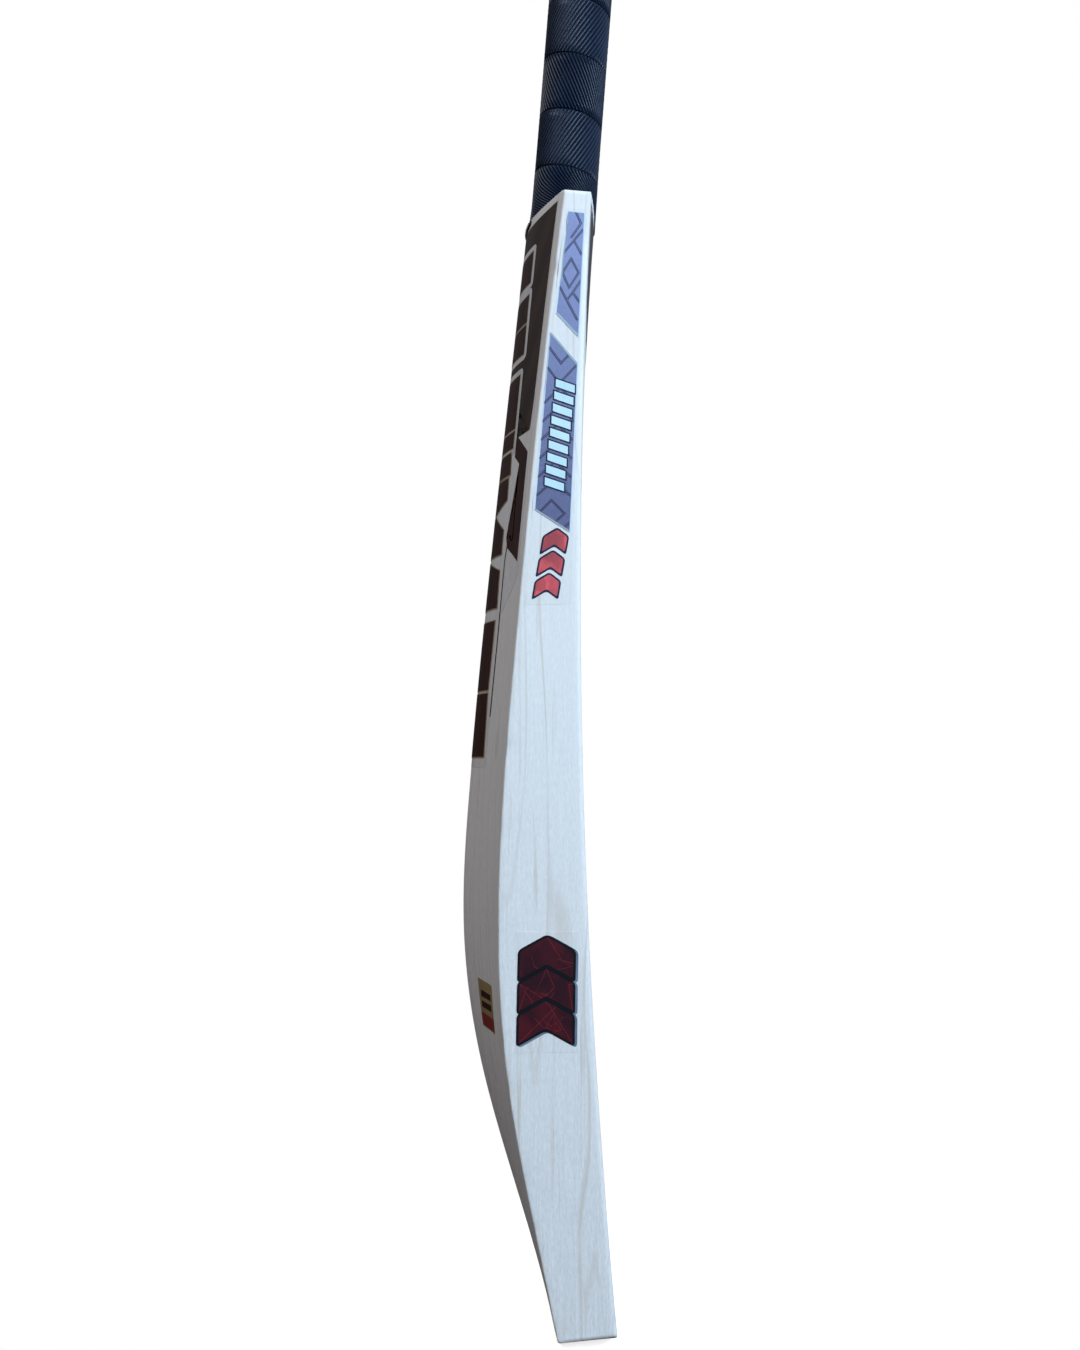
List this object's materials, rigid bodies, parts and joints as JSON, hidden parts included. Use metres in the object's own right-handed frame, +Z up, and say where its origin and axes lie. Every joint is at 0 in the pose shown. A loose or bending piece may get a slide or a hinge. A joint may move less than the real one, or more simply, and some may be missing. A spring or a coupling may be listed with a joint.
{
  "type": "cricket bat",
  "caption": "Full-size wooden cricket bat with a ridged, concave back, a spliced laminated cane handle, a ribbed rubber grip and thin printed labels.",
  "frame": {"origin": "On the floor under the middle of the bat's box, at the height of the flat of the toe.", "axes": "+Z runs up the blade to the handle, the playing face looks towards -Y, the spine towards +Y, and +X runs across the blade."},
  "size_m": [0.1084, 0.0908, 0.85],
  "materials": {
    "willow": "bare, lightly sanded",
    "cane": "bare, sanded",
    "insert_rubber": "matt",
    "binding": "glued twine",
    "grip_rubber": "matt, ribbed",
    "label_film": "gloss film, printed"
  },
  "bodies": {
    "root": {"blade": "willow", "handle_slab_1_left": "cane", "handle_slab_1_middle": "cane", "handle_slab_1_right": "cane", "handle_slab_2_left": "cane", "handle_slab_2_middle": "cane", "handle_slab_2_right": "cane", "handle_slab_3_left": "cane", "handle_slab_3_middle": "cane", "handle_slab_3_right": "cane", "handle_slab_4_left": "cane", "handle_slab_4_middle": "cane", "handle_slab_4_right": "cane", "handle_insert_1": "insert_rubber", "handle_insert_2": "insert_rubber", "handle_insert_3": "insert_rubber", "handle_binding": "binding", "grip": "grip_rubber", "edge_label_left": "label_film", "edge_label_right": "label_film", "edge_badge_left": "label_film", "edge_badge_right": "label_film", "back_label": "label_film", "back_tag": "label_film", "face_label": "label_film"}
  },
  "joints": []
}
